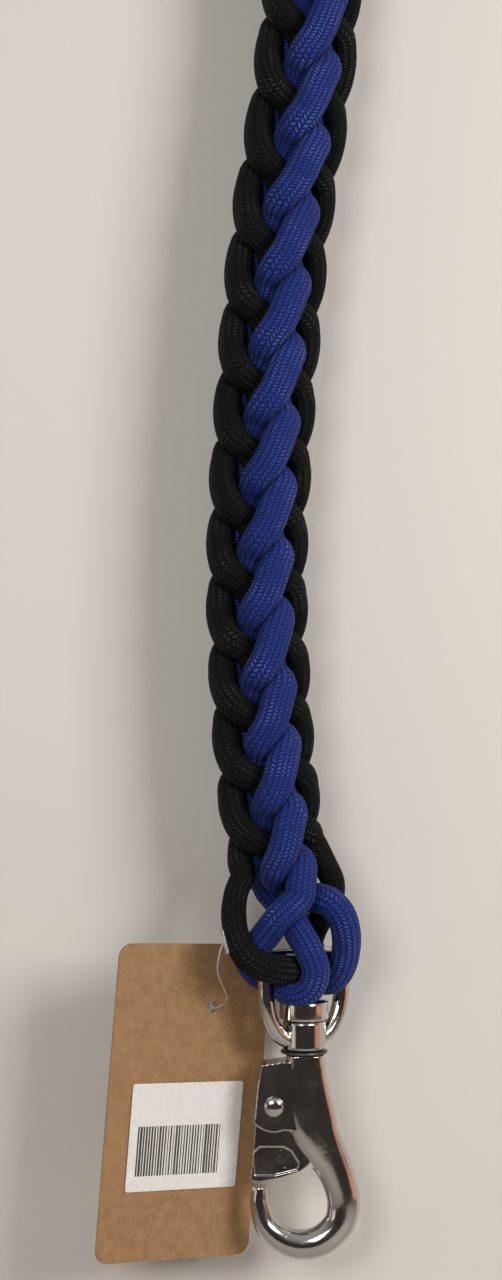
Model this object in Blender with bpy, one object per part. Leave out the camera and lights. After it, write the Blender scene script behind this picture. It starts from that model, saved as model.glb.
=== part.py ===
"""Braided lead rope with a swivel trigger snap and a card hang tag."""
import math

import bmesh
import bpy
import numpy as np
from mathutils import Matrix, Vector

# Driving dimensions, in millimetres

CLEAR = 0.3               # gap left between touching pieces
STRAND_D = 6.5            # cord where nothing presses it
STRAND_GAP = 1.2          # room between the cords of the hand loop
SQUEEZE = 0.84            # cord pulled thinner where it is hitched round the eye
PRESSED = 0.64           # cord pressed thinner in the braid
BRAID_R = 7.8             # strands' mean distance from the middle of the braid
WEAVE = 4.0               # how far a strand goes out over the others and in under them
LINGER = 0.4              # share by which a strand winds slower outside and faster inside
BRAID_Z0 = 27.6           # lowest front crossing, above the top of the stud
BRAID_Z1 = 300.0          # where the strands stop crossing
STITCH_LOW = 18.2         # spacing of the blue stitches at the ring
STITCH_TOP = 22.4         # spacing of the blue stitches at the whipping
STITCHES = 14.25          # stitches between ring and whipping
BRAID_PHASE = 0.1         # share of a stitch by which the pattern sits lower
BRAID_TURN = 11.0         # degrees the blue column faces to the right
BLUE_FOLD_Z = 35.0        # second blue cord's fold inside the braid
BLACK_FOLD_Z = 40.9       # second black cord's fold, just above it
WHIP_Z0 = 308.0           # lower end of the whipping
WHIP_LEN = 28.0
WHIP_PINCH = 0.95         # strands drawn together under the whipping
WHIP_D = 2.5
WHIP_TURNS = 8
LOOP_R = 38.0             # hand loop, middle of its cords
LOOP_MID_Z = 430.0
EYE_YAW = 30.0            # degrees, left rod toward the front
ROD_D = 4.7
EYE_HALF = 12.6           # middle of the bar to middle of a rod
BAR_Z = 12.5
HEAD_D = 14.0
HEAD_H = 5.1
POST_D = 5.6
HUB_D = 12.3
HUB_H = 8.2
WASHER_T = 0.8
GATE_T = 5.0
CHEEK_T = 1.6
PIVOT = (-8.6, -29.6)     # rivet of the gate, from the stud's top on the swivel axis
PIN_D = 2.7
RIVET_HEAD_D = 5.6
TAG_W = 50.0
TAG_H = 90.0
TAG_T = 0.5
TAG_HOLE = (6.5, 27.0)    # from the middle of the card
TAG_HOLE_D = 3.6
TAG_MID = (-33.9, -1.9, -28.6)
TAG_YAW = 31.0
TAG_LEAN = 4.6
LABEL_W = 36.0
LABEL_H = 30.5
LABEL_T = 0.2
LABEL_MID = (0.5, -9.7)

# Sizes that follow

PAIR_R = (STRAND_D + STRAND_GAP) / 2
R_OVER = BRAID_R + WEAVE
LOOP_TOP_Z = LOOP_MID_Z + LOOP_R
HANG_Z = LOOP_TOP_Z - PAIR_R - STRAND_D / 2
HUB_TOP = -HEAD_H - 2 * CLEAR
HUB_LOW = HUB_TOP - HUB_H
WASHER_TOP = HUB_LOW - CLEAR
BODY_TOP = WASHER_TOP - WASHER_T - CLEAR
CHEEK_IN = GATE_T / 2 + CLEAR
CHEEK_OUT = CHEEK_IN + CHEEK_T
MM = 0.001


def clear_scene():
    for ob in list(bpy.data.objects):
        bpy.data.objects.remove(ob, do_unlink=True)


def material(name, color, metallic, rough):
    mat = bpy.data.materials.new(name)
    mat.use_nodes = True
    shader = mat.node_tree.nodes["Principled BSDF"]
    shader.inputs["Base Color"].default_value = (*color, 1.0)
    shader.inputs["Metallic"].default_value = metallic
    shader.inputs["Roughness"].default_value = rough
    return mat


def place(x, y, z):
    return Vector((x * MM, y * MM, (z - HANG_Z) * MM))


def smooth(points, per):
    # Catmull-Rom curve through the points, per pieces to each span
    pts = [np.array(p, float) for p in points]
    pts = [2 * pts[0] - pts[1]] + pts + [2 * pts[-1] - pts[-2]]
    out = []
    for i in range(1, len(pts) - 2):
        a, b, c, d = pts[i - 1:i + 3]
        for k in range(per):
            t = k / per
            out.append(0.5 * (2 * b + (c - a) * t + (2 * a - 5 * b + 4 * c - d) * t * t
                              + (3 * b - a - 3 * c + d) * t ** 3))
    out.append(pts[-2])
    return np.array(out)


def tube(name, points, dia, mat, factors=None, sides=1):
    curve = bpy.data.curves.new(name, 'CURVE')
    curve.dimensions = '3D'
    curve.bevel_depth = dia / 2 * MM
    curve.bevel_resolution = sides
    curve.use_fill_caps = True
    spline = curve.splines.new('POLY')
    spline.points.add(len(points) - 1)
    for i, p in enumerate(points):
        spline.points[i].co = (*place(*p), 1.0)
        spline.points[i].radius = 1.0 if factors is None else factors[i]
    ob = bpy.data.objects.new(name, curve)
    bpy.context.collection.objects.link(ob)
    curve.materials.append(mat)
    return ob


def mesh_object(name, bm, mat, origin=(0, 0, 0)):
    bmesh.ops.recalc_face_normals(bm, faces=bm.faces)
    mesh = bpy.data.meshes.new(name)
    bm.to_mesh(mesh)
    bm.free()
    ob = bpy.data.objects.new(name, mesh)
    bpy.context.collection.objects.link(ob)
    ob.location = place(*origin)
    mesh.materials.append(mat)
    return ob


def lathe(profile, sides):
    # Closed solid of revolution about Z from (radius, z) pairs, in millimetres
    bm = bmesh.new()
    rings = []
    for radius, z in profile:
        if radius == 0:
            rings.append([bm.verts.new((0, 0, z * MM))])
            continue
        ring = []
        for k in range(sides):
            angle = 2 * math.pi * (k + 0.5) / sides
            ring.append(bm.verts.new((radius * MM * math.cos(angle),
                                      radius * MM * math.sin(angle), z * MM)))
        rings.append(ring)
    pairs = list(zip(rings, rings[1:]))
    if profile[0][0] != 0:
        pairs.append((rings[-1], rings[0]))
    for low, high in pairs:
        for k in range(sides):
            n = (k + 1) % sides
            corners = [low[k % len(low)], low[n % len(low)], high[n % len(high)], high[k % len(high)]]
            face = []
            for v in corners:
                if v not in face:
                    face.append(v)
            if len(face) > 2:
                bm.faces.new(face)
    return bm


def prism(outline, y0, y1):
    # Outline in (x, z) millimetres, extruded along Y
    bm = bmesh.new()
    front = [bm.verts.new((x * MM, y0 * MM, z * MM)) for x, z in outline]
    back = [bm.verts.new((x * MM, y1 * MM, z * MM)) for x, z in outline]
    bm.faces.new(front)
    bm.faces.new(list(reversed(back)))
    for k in range(len(outline)):
        n = (k + 1) % len(outline)
        bm.faces.new((front[k], back[k], back[n], front[n]))
    return bm


def arc(cx, cz, radius, a0, a1, steps):
    out = []
    for k in range(steps + 1):
        angle = math.radians(a0 + (a1 - a0) * k / steps)
        out.append((cx + radius * math.cos(angle), cz + radius * math.sin(angle)))
    return out


def combine(target, tool, operation):
    mod = target.modifiers.new(operation.lower(), 'BOOLEAN')
    mod.operation = operation
    mod.solver = 'EXACT'
    mod.object = tool
    tool.hide_render = True
    tool.display_type = 'WIRE'
    dg = bpy.context.evaluated_depsgraph_get()
    mesh = bpy.data.meshes.new_from_object(target.evaluated_get(dg))
    target.modifiers.clear()
    target.data = mesh
    bpy.data.objects.remove(tool, do_unlink=True)


# Braid: four blue strands wind up to the right, four black ones to the left, over two and under two

CENTRE = [(-4.6, 0.0, 14.0), (-5.2, 0.0, 28.5), (-9.2, 0.0, 51.3), (-12.3, 0.0, 85.5),
          (-13.4, 0.0, 125.4), (-11.1, 0.0, 171.0), (-7.1, 0.0, 216.6), (-1.1, 0.0, 256.5),
          (2.0, 0.0, 285.0), (1.0, 0.0, 298.0), (0.0, 0.0, 308.0), (0.0, 0.0, 340.0)]


def centre_at(z, line):
    x = np.interp(z, line[:, 2], line[:, 0])
    slope = (np.interp(z + 2, line[:, 2], line[:, 0]) - np.interp(z - 2, line[:, 2], line[:, 0])) / 4
    tangent = np.array([slope, 0.0, 1.0])
    tangent /= np.linalg.norm(tangent)
    right = np.array([tangent[2], 0.0, -tangent[0]])
    return np.array([x, 0.0, z]), right


def height_of(stitch):
    # Height of a stitch, counted from the ring; the stitches grow upward
    grow = (STITCH_TOP - STITCH_LOW) / (BRAID_Z1 - BRAID_Z0)
    whole = math.log(STITCH_TOP / STITCH_LOW)
    return BRAID_Z0 + STITCH_LOW * (math.exp(stitch * whole / STITCHES) - 1) / grow


def strand_section(colour, number, stitch):
    # Place of a strand in the section: right, front
    angle = math.pi / 2 * (1 - stitch - BRAID_PHASE + number)
    if colour == "black":
        angle = math.pi - angle
    wave = 2 * (angle - math.radians(67.5 if colour == "blue" else 157.5))
    radius = BRAID_R + WEAVE * math.cos(wave)
    angle += math.radians(22.5 - BRAID_TURN) - LINGER / 2 * math.sin(wave)
    return radius * np.array([math.cos(angle), math.sin(angle)])


def braid_strand(colour, number, first, line):
    # Points of one strand from its first stitch up to the whipping
    out = []
    steps = int(round((STITCHES - first) * 4))
    for k in range(steps + 1):
        stitch = first + (STITCHES - first) * k / steps
        spot = strand_section(colour, number, stitch)
        mid, right = centre_at(height_of(stitch), line)
        out.append(mid + right * spot[0] + np.array([0.0, -spot[1], 0.0]))
    spot = spot * WHIP_PINCH
    mid, right = centre_at(WHIP_Z0, line)
    out.append(mid + right * spot[0] + np.array([0.0, -spot[1], 0.0]))
    return out


def thinness(points):
    # Cord's share of its free diameter: hitched, pressed in the braid, free in the hand loop
    z = np.array(points)[:, 2]
    loop_z = WHIP_Z0 + WHIP_LEN
    return np.interp(z, [30.0, 46.0, loop_z - 4, loop_z + 18], [SQUEEZE, PRESSED, PRESSED, 1.0])


# Cords below the braid, hitched round the bar of the eye; points chosen by hand (right, back, up)

BLUE_RING = [(-6.8, -12.4, 25.2), (-10.8, -9.8, 19.8), (-14.2, -8.2, 14.6), (-16.4, -6.4, 9.6),
             (-15.2, -2.2, 6.6), (-11.4, -0.2, 5.2), (-7.6, -1.2, 4.6), (-5.3, -4.4, 4.0),
             (-3.2, -8.6, 3.2), (0.6, -11.0, 3.1), (4.2, -12.0, 5.6), (6.0, -12.6, 10.6),
             (4.8, -12.8, 16.2), (1.8, -10.8, 21.0), (-1.0, -6.4, 24.4), (-2.4, -2.4, 26.8),
             (-0.6, -0.4, 28.4), (3.4, -2.4, 29.2), (8.6, -5.8, 28.8), (12.8, -6.2, 25.4),
             (14.8, -4.8, 19.8), (14.8, -2.4, 13.8), (12.4, -0.6, 8.8), (8.4, 0.6, 5.8),
             (5.4, 4.0, 5.0), (4.8, 8.8, 5.4), (4.2, 12.6, 8.4), (1.8, 14.6, 13.8), (-1.8, 14.2, 20.6)]
BLACK_RING = [(6.6, 0.8, 38.0), (8.8, 2.6, 33.0), (9.8, 4.2, 28.4), (9.2, 6.2, 23.4), (6.4, 7.8, 18.8),
              (2.8, 8.0, 14.0), (0.0, 6.0, 9.0), (-0.8, 2.4, 6.0), (0.4, -1.4, 6.0), (-0.2, -5.4, 8.0),
              (-3.2, -9.4, 9.6), (-8.0, -12.6, 10.4), (-13.0, -14.6, 12.0), (-17.2, -14.8, 15.2),
              (-20.2, -11.4, 20.0), (-21.2, -7.4, 25.6), (-20.4, -5.2, 31.2)]


def cord_route(colour, starts, ring, line):
    # From the whipping down the braid, round the eye, up the braid and round the hand loop
    first = braid_strand(colour, 2 if colour == "blue" else 0, starts[1], line)
    second = braid_strand(colour, 0 if colour == "blue" else 2, starts[0], line)
    second.append(second[-1] + np.array([0.0, 0.0, WHIP_LEN * 0.4]))
    seat = first[-1] + np.array([0.0, 0.0, WHIP_LEN / 2])
    low = smooth([first[1], first[0]] + ring[::-1] + [second[0], second[1]], 2)
    points = [seat - np.array([0.0, 0.0, 0.6])] + list(reversed(first[2:])) + list(low) + second[2:]
    return points + hand_loop(colour == "blue") + [seat + np.array([0.0, 0.0, 0.6])]


def second_cord_route(colour, start, fold_z, line):
    # From the whipping down the braid, folded back in its middle, and up to the whipping again
    first = braid_strand(colour, 1, start, line)
    second = braid_strand(colour, 3, start, line)
    fold = []
    for share in (0.2, 0.5, 0.8):
        p = first[0] + (second[0] - first[0]) * share
        drop = (first[0][2] - fold_z) * (0.7 if share != 0.5 else 1.0)
        p += centre_at(p[2] - drop, line)[0] - centre_at(p[2], line)[0]
        fold.append(p)
    low = smooth([first[1], first[0]] + fold + [second[0], second[1]], 3)
    ends = [p[-1] + np.array([0.0, 0.0, WHIP_LEN / 4]) for p in (first, second)]
    return [ends[0]] + list(reversed(first[2:])) + list(low) + second[2:] + [ends[1]]


def hand_loop(is_blue):
    # Blue and black laid round each other, up the left leg, over and down the right
    z_low = WHIP_Z0 + WHIP_LEN
    legs = [(-4.0, 1.8, z_low + 1), (-4.8, 1.9, z_low + 8), (-8.8, 2.0, z_low + 20),
            (-18.0, 1.6, z_low + 42), (-29.0, 1.0, z_low + 66), (-36.0, 0.4, LOOP_MID_Z - 14)]
    top = [(LOOP_R * math.cos(a), 0.0, LOOP_MID_Z + LOOP_R * math.sin(a))
           for a in np.linspace(math.pi, 0, 7)]
    other = [(-x, -y, z) for x, y, z in reversed(legs)]
    line = smooth(legs + top + other, 6)
    walk = np.concatenate([[0], np.cumsum(np.linalg.norm(np.diff(line, axis=0), axis=1))])
    share = np.clip((walk - 8) / (walk[-1] - 16), 0, 1)
    start = math.radians(-63.4 - BRAID_TURN)
    end = math.radians(63.4 + BRAID_TURN - 360 * 6)
    out = []
    for i, p in enumerate(line):
        t = line[min(i + 1, len(line) - 1)] - line[max(i - 1, 0)]
        t /= np.linalg.norm(t)
        right = np.cross(t, (0.0, -1.0, 0.0))
        right /= np.linalg.norm(right)
        front = np.cross(right, t)
        angle = start + (end - start) * share[i] + (0 if is_blue else math.pi)
        out.append(p + PAIR_R * (right * math.cos(angle) + front * math.sin(angle)))
    return out


def whipping(mat):
    turns = np.linspace(0, WHIP_TURNS, WHIP_TURNS * 22 + 1)
    radius = WHIP_PINCH * R_OVER + PRESSED * STRAND_D / 2 + CLEAR + WHIP_D / 2
    pitch = (WHIP_LEN - 4.0) / WHIP_TURNS
    points = [(radius * math.cos(2 * math.pi * t), radius * math.sin(2 * math.pi * t),
               WHIP_Z0 + 2.0 + pitch * t) for t in turns]
    print("whipping least gap between turns", round(pitch - WHIP_D, 2), "mm")
    return tube("loop_whipping", points, WHIP_D, mat, sides=1)


# Swivel trigger snap

def swivel_eye(mat):
    half = [(-4.4, -11.6), (-8.2, -9.4), (-11.0, -5.2), (-12.3, -0.6), (-EYE_HALF, 4.0),
            (-EYE_HALF, BAR_Z - 4.0), (-EYE_HALF + 1.2, BAR_Z - 1.2), (-EYE_HALF + 4.0, BAR_Z)]
    path = half + [(-x, z) for x, z in reversed(half)]
    yaw = math.radians(EYE_YAW)
    points = [(u * math.cos(yaw), u * math.sin(yaw), z) for u, z in path]
    line = smooth(points, 3)
    rod = tube("eye_rod", line, ROD_D, mat, sides=4)
    dg = bpy.context.evaluated_depsgraph_get()
    rod_mesh = bpy.data.meshes.new_from_object(rod.evaluated_get(dg))
    bpy.data.objects.remove(rod, do_unlink=True)
    rod = bpy.data.objects.new("eye_rod", rod_mesh)
    bpy.context.collection.objects.link(rod)
    r = HUB_D / 2
    hub = lathe([(0, HUB_LOW), (r - 0.7, HUB_LOW), (r, HUB_LOW + 0.7), (r, HUB_TOP - 0.6),
                 (r - 0.6, HUB_TOP), (0, HUB_TOP)], 24)
    eye = mesh_object("swivel_eye", hub, mat)
    combine(eye, rod, 'UNION')
    bore = lathe([(0, HUB_LOW - 2), (POST_D / 2 + CLEAR, HUB_LOW - 2),
                  (POST_D / 2 + CLEAR, HUB_TOP + 2), (0, HUB_TOP + 2)], 24)
    combine(eye, mesh_object("bore", bore, mat), 'DIFFERENCE')
    space = lathe([(0, HUB_TOP), (HEAD_D / 2 + 1.2, HUB_TOP), (HEAD_D / 2 + 1.2, 3.0), (0, 3.0)], 24)
    combine(eye, mesh_object("head_room", space, mat), 'DIFFERENCE')
    return eye


def swivel_stud(mat):
    r = HEAD_D / 2
    p = POST_D / 2
    low = BODY_TOP - 7.0
    profile = [(0, low), (p - 0.3, low), (p, low + 0.3), (p, HUB_TOP + CLEAR), (r - 0.5, HUB_TOP + CLEAR),
               (r, HUB_TOP + CLEAR + 0.6), (r, -1.0), (r - 0.9, -0.1), (0, 0)]
    return mesh_object("swivel_stud", lathe(profile, 24), mat)


def swivel_washer(mat):
    inner = POST_D / 2 + CLEAR
    outer = HUB_D / 2 + 0.5
    profile = [(inner, WASHER_TOP - WASHER_T), (outer, WASHER_TOP - WASHER_T),
               (outer, WASHER_TOP), (inner, WASHER_TOP)]
    return mesh_object("swivel_washer", lathe(profile, 24), mat)


# Middle line of the hook: right, up, half width in the plane, half depth
HOOK_LINE = [(0.3, 0.0, 5.4, 5.2), (0.6, -3.7, 5.7, 5.1), (0.9, -8.6, 6.2, 5.0), (1.6, -15.6, 7.0, 4.9),
             (3.2, -22.0, 6.9, 4.8), (6.0, -28.0, 5.4, 4.5), (9.0, -34.0, 4.3, 4.2), (10.9, -40.0, 3.8, 3.9),
             (11.0, -44.6, 3.75, 3.8), (9.5, -48.6, 3.8, 3.8), (5.3, -52.6, 3.85, 3.8),
             (-0.3, -54.1, 3.85, 3.8), (-6.0, -52.9, 3.6, 3.6), (-10.7, -48.9, 3.1, 3.3),
             (-12.7, -42.9, 2.7, 3.0), (-12.7, -39.5, 2.4, 2.8), (-12.5, -37.7, 2.1, 2.6)]


def hook_body(mat):
    line = smooth(HOOK_LINE, 2)
    bm = bmesh.new()
    rings = []
    sides = 14
    for i, (x, z, w, h) in enumerate(line):
        a = line[max(i - 1, 0)]
        b = line[min(i + 1, len(line) - 1)]
        t = np.array([b[0] - a[0], b[1] - a[1]])
        t /= np.linalg.norm(t)
        if i == 0:
            t = np.array([0.0, -1.0])
        n = np.array([-t[1], t[0]])
        ring = []
        for k in range(sides):
            angle = 2 * math.pi * k / sides
            c = math.copysign(abs(math.cos(angle)) ** 0.8, math.cos(angle))
            s = math.copysign(abs(math.sin(angle)) ** 0.8, math.sin(angle))
            ring.append(bm.verts.new(((x + n[0] * w * c) * MM, h * s * MM,
                                      (BODY_TOP + z + n[1] * w * c) * MM)))
        rings.append(ring)
    for low, high in zip(rings, rings[1:]):
        for k in range(sides):
            bm.faces.new((low[k], low[(k + 1) % sides], high[(k + 1) % sides], high[k]))
    bm.faces.new(rings[0])
    bm.faces.new(rings[-1])
    body = mesh_object("hook_body", bm, mat)
    px, pz = PIVOT
    cheek = [(1.2, -18.0), (-5.4, -16.9), (-12.2, -17.9), (-13.2, -25.0), (-14.0, -33.6)]
    cheek += arc(px, pz, 7.4, 216, 292, 6) + [(1.2, -37.0)]
    combine(body, mesh_object("cheeks", prism(cheek, -CHEEK_OUT, CHEEK_OUT), mat), 'UNION')
    slot = arc(px, pz, 21.3, -128, -46, 13) + arc(px, pz, 20.3, -38, -31, 2) + arc(px, pz, 5.4, -31, 100, 8)
    slot += [(-18.0, -20.5), (-18.0, -42.0)]
    combine(body, mesh_object("gate_slot", prism(slot, -CHEEK_IN, CHEEK_IN), mat), 'DIFFERENCE')
    pin = lathe([(0, -9), (PIN_D / 2 + CLEAR, -9), (PIN_D / 2 + CLEAR, 9), (0, 9)], 16)
    tool = mesh_object("pin_hole", pin, mat)
    tool.data.transform(Matrix.Translation((px * MM, 0, pz * MM)) @ Matrix.Rotation(math.pi / 2, 4, 'X'))
    combine(body, tool, 'DIFFERENCE')
    bore = lathe([(0, BODY_TOP - 7.4), (POST_D / 2 + CLEAR, BODY_TOP - 7.4),
                  (POST_D / 2 + CLEAR, BODY_TOP + 2), (0, BODY_TOP + 2)], 24)
    combine(body, mesh_object("stud_bore", bore, mat), 'DIFFERENCE')
    return body


def gate(mat):
    px, pz = PIVOT
    outline = [(-13.7, -34.8), (-15.2, -50.6), (-14.6, -51.3), (-12.5, -51.5), (-6.6, -50.3), (-0.9, -48.4),
               (1.2, -46.7), (1.7, -45.9), (-1.6, -41.4), (-5.7, -34.8)]
    outline += arc(px, pz, 4.4, -40, 200, 14)
    bm = prism([(x - px, z - pz) for x, z in outline], -GATE_T / 2, GATE_T / 2)
    piece = mesh_object("gate", bm, mat, (px, 0, pz))
    ears = prism([(-9, -5.0), (9, -5.0), (9, 9), (-9, 9)], -1.65, 1.65)
    combine(piece, mesh_object("spring_room", ears, mat, (px, 0, pz)), 'DIFFERENCE')
    hole = lathe([(0, -9), (PIN_D / 2 + CLEAR, -9), (PIN_D / 2 + CLEAR, 9), (0, 9)], 16)
    tool = mesh_object("gate_hole", hole, mat, (px, 0, pz))
    tool.data.transform(Matrix.Rotation(math.pi / 2, 4, 'X'))
    combine(piece, tool, 'DIFFERENCE')
    panel = [(-6.0, -13.6), (-4.0, -11.8), (2.6, -11.8), (5.0, -13.0), (7.2, -16.6), (6.6, -18.4),
             (0.2, -20.0), (-5.4, -20.0)]
    for y0 in (-GATE_T / 2 - 1.0, GATE_T / 2 - 0.7):
        tool = mesh_object("panel", prism(panel, y0, y0 + 1.7), mat, (px, 0, pz))
        combine(piece, tool, 'DIFFERENCE')
    return piece


def gate_rivet(mat):
    pin = PIN_D / 2
    head = RIVET_HEAD_D / 2
    face = CHEEK_OUT + CLEAR
    profile = [(0, -face - 1.5), (head * 0.6, -face - 1.2), (head, -face - 0.3), (head, -face), (pin, -face),
               (pin, face), (head, face), (head, face + 0.3), (head * 0.6, face + 1.2), (0, face + 1.5)]
    ob = mesh_object("gate_rivet", lathe(profile, 20), mat, (PIVOT[0], 0, PIVOT[1]))
    ob.data.transform(Matrix.Rotation(math.pi / 2, 4, 'X'))
    return ob


def gate_spring(mat):
    px, pz = PIVOT
    wire = 0.5
    coil = 2.4
    points = [(px - coil, -1.05, pz - 4.6), (px - coil, -1.05, pz - 2.0)]
    for k in range(55):
        angle = math.pi - 2 * math.pi * 2.25 * k / 54
        points.append((px + coil * math.cos(angle), -1.05 + 2.1 * k / 54, pz + coil * math.sin(angle)))
    points += [(px + 2.0, 1.05, pz + coil), (px + 4.4, 1.05, pz + coil)]
    print("gate spring least gap between coils", round(2.1 / 2.25 - wire, 2), "mm")
    return tube("gate_spring", points, wire, mat, sides=1)


# Card tag, its label and the nylon fastener

def tag_axes():
    yaw = math.radians(TAG_YAW)
    lean = math.radians(TAG_LEAN)
    up = np.array([math.sin(lean), 0.0, math.cos(lean)])
    across = np.array([math.cos(yaw), math.sin(yaw), 0.0])
    across -= up * across.dot(up)
    across /= np.linalg.norm(across)
    back = np.cross(up, across)
    return across, back, up


def tag_point(w, depth, h):
    across, back, up = tag_axes()
    return np.array(TAG_MID) + across * w + back * depth + up * h


def rounded(w, h, r):
    x, z = w / 2 - r, h / 2 - r
    return arc(x, z, r, 0, 90, 4) + arc(-x, z, r, 90, 180, 4) + arc(-x, -z, r, 180, 270, 4) + \
        arc(x, -z, r, 270, 360, 4)


def lay_on_tag(ob, w, depth, h):
    across, back, up = tag_axes()
    turn = Matrix((across, back, up)).transposed().to_4x4()
    ob.data.transform(turn)
    ob.location = place(*tag_point(w, depth, h))


def hang_tag(mat):
    w, h = TAG_HOLE
    card = prism([(x - w, z - h) for x, z in rounded(TAG_W, TAG_H, 4.0)], -TAG_T / 2, TAG_T / 2)
    ob = mesh_object("hang_tag", card, mat)
    hole = prism(arc(0, 0, TAG_HOLE_D / 2, 0, 337.5, 15), -3, 3)
    combine(ob, mesh_object("tag_hole", hole, mat), 'DIFFERENCE')
    lay_on_tag(ob, w, 0.0, h)
    return ob


def tag_label(mat):
    ob = mesh_object("tag_label", prism(rounded(LABEL_W, LABEL_H, 0.8), -LABEL_T / 2, LABEL_T / 2), mat)
    lay_on_tag(ob, LABEL_MID[0], -TAG_T / 2 - LABEL_T / 2 - CLEAR, LABEL_MID[1])
    return ob


def tag_fastener(mat):
    w, h = TAG_HOLE
    bar = [(-23.4, -13.0, 21.6), (-21.6, -16.6, 15.4)]
    mid = [(a + b) / 2 for a, b in zip(*bar)]
    line = [mid, (mid[0] - 1.2, mid[1] - 1.6, mid[2] - 2.4), (-24.4, -15.6, 10.0),
            tuple(tag_point(w + 0.4, -7.0, h + 3.4)), tuple(tag_point(w, -2.2, h)),
            tuple(tag_point(w, 0.0, h)), tuple(tag_point(w, 1.6, h))]
    thread = tube("thread", smooth(line, 4), 0.8, mat, sides=1)
    dg = bpy.context.evaluated_depsgraph_get()
    mesh = bpy.data.meshes.new_from_object(thread.evaluated_get(dg))
    bpy.data.objects.remove(thread, do_unlink=True)
    ob = bpy.data.objects.new("tag_fastener", mesh)
    bpy.context.collection.objects.link(ob)
    knob = [tuple(tag_point(w, TAG_T / 2 + CLEAR + 0.5, h + d)) for d in (-3.6, 3.6)]
    for name, ends in (("t_bar", bar), ("t_end", knob)):
        rod = tube(name, ends, 1.3, mat, sides=1)
        dg = bpy.context.evaluated_depsgraph_get()
        rod_mesh = bpy.data.meshes.new_from_object(rod.evaluated_get(dg))
        bpy.data.objects.remove(rod, do_unlink=True)
        tool = bpy.data.objects.new(name, rod_mesh)
        bpy.context.collection.objects.link(tool)
        combine(ob, tool, 'UNION')
    return ob


clear_scene()
blue = material("blue_cord", (0.03, 0.045, 0.36), 0.0, 0.7)
black = material("black_cord", (0.015, 0.016, 0.017), 0.0, 0.75)
twine = material("whipping_twine", (0.012, 0.012, 0.012), 0.0, 0.6)
chrome = material("chrome", (0.72, 0.71, 0.7), 1.0, 0.12)
steel = material("spring_steel", (0.5, 0.5, 0.5), 1.0, 0.3)
card = material("kraft_card", (0.36, 0.2, 0.09), 0.0, 0.8)
paper = material("label_paper", (0.85, 0.84, 0.82), 0.0, 0.6)
nylon = material("clear_nylon", (0.8, 0.8, 0.78), 0.0, 0.3)
spine = smooth(CENTRE, 6)
for name, colour, points in (
        ("blue_cord", blue, cord_route("blue", (0.125, 0.125), BLUE_RING, spine)),
        ("second_blue_cord", blue, second_cord_route("blue", 0.5, BLUE_FOLD_Z, spine)),
        ("black_cord", black, cord_route("black", (0.9, 0.6), BLACK_RING, spine)),
        ("second_black_cord", black, second_cord_route("black", 1.0, BLACK_FOLD_Z, spine))):
    tube(name, points, STRAND_D, colour, thinness(points))
whipping(twine)
swivel_eye(chrome)
swivel_stud(chrome)
swivel_washer(steel)
hook_body(chrome)
gate(chrome)
gate_rivet(chrome)
gate_spring(steel)
hang_tag(card)
tag_label(paper)
tag_fastener(nylon)
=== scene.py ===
import math

import bmesh
import bpy
import numpy as np
from mathutils import Matrix, Vector, kdtree


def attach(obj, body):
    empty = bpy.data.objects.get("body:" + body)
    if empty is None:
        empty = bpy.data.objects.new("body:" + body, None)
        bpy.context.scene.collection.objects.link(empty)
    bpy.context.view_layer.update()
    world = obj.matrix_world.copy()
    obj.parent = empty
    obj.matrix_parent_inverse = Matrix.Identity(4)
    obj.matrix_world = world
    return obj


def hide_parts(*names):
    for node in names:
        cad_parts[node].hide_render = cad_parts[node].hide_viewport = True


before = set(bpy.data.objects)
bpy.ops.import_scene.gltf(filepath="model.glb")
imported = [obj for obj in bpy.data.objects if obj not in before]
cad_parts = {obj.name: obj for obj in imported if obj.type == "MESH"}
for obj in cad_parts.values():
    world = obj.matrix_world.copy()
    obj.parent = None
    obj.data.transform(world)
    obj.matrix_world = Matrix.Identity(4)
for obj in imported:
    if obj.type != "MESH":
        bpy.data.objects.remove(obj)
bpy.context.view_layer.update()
scene = bpy.context.scene
scene.view_settings.view_transform = "Standard"

mm = 0.001
hangZ = 460.9  # hand loop's inside top above the stud's top; lengths below are mm from the stud's top


def place(x, y, z):
    return Vector((x * mm, y * mm, (z - hangZ) * mm))


# camera: level with the middle of the picture, so the snap is seen a little from above
viewFrom = {"spot": (-15.1, -681.0, 102.6), "tallAngle": 30.0}
camData = bpy.data.cameras.new("photoCamera")
camData.angle = math.radians(viewFrom["tallAngle"])
camera = bpy.data.objects.new("photoCamera", camData)
camera.location = place(*viewFrom["spot"])
camera.rotation_euler = (math.radians(90), 0, 0)
scene.collection.objects.link(camera)
scene.camera = camera


# node helpers: a value that is a socket is linked, any other is set
def feed(tree, socket, value):
    if isinstance(value, bpy.types.NodeSocket):
        tree.links.new(value, socket)
    else:
        socket.default_value = value


def addNode(tree, kind, inputs=None, **settings):
    node = tree.nodes.new(kind)
    for key, value in settings.items():
        setattr(node, key, value)
    for key, value in (inputs or {}).items():
        feed(tree, node.inputs[key], value)
    return node


def calc(tree, operation, a, b=0.0, c=0.0):
    return addNode(tree, "ShaderNodeMath", {0: a, 1: b, 2: c}, operation=operation).outputs[0]


def blendColor(tree, share, dark, light):
    node = addNode(tree, "ShaderNodeMix", {0: share, 6: dark, 7: light}, data_type="RGBA")
    return node.outputs[2]


def ramp(tree, value, fromLow, fromHigh, toLow=0.0, toHigh=1.0):
    node = addNode(tree, "ShaderNodeMapRange", {0: value, 1: fromLow, 2: fromHigh, 3: toLow, 4: toHigh})
    return node.outputs[0]


def noise(tree, vector, scale, detail=2.0, rough=0.5):
    node = addNode(tree, "ShaderNodeTexNoise", {"Vector": vector, "Scale": scale, "Detail": detail,
                                                "Roughness": rough})
    return node.outputs[0]


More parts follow.
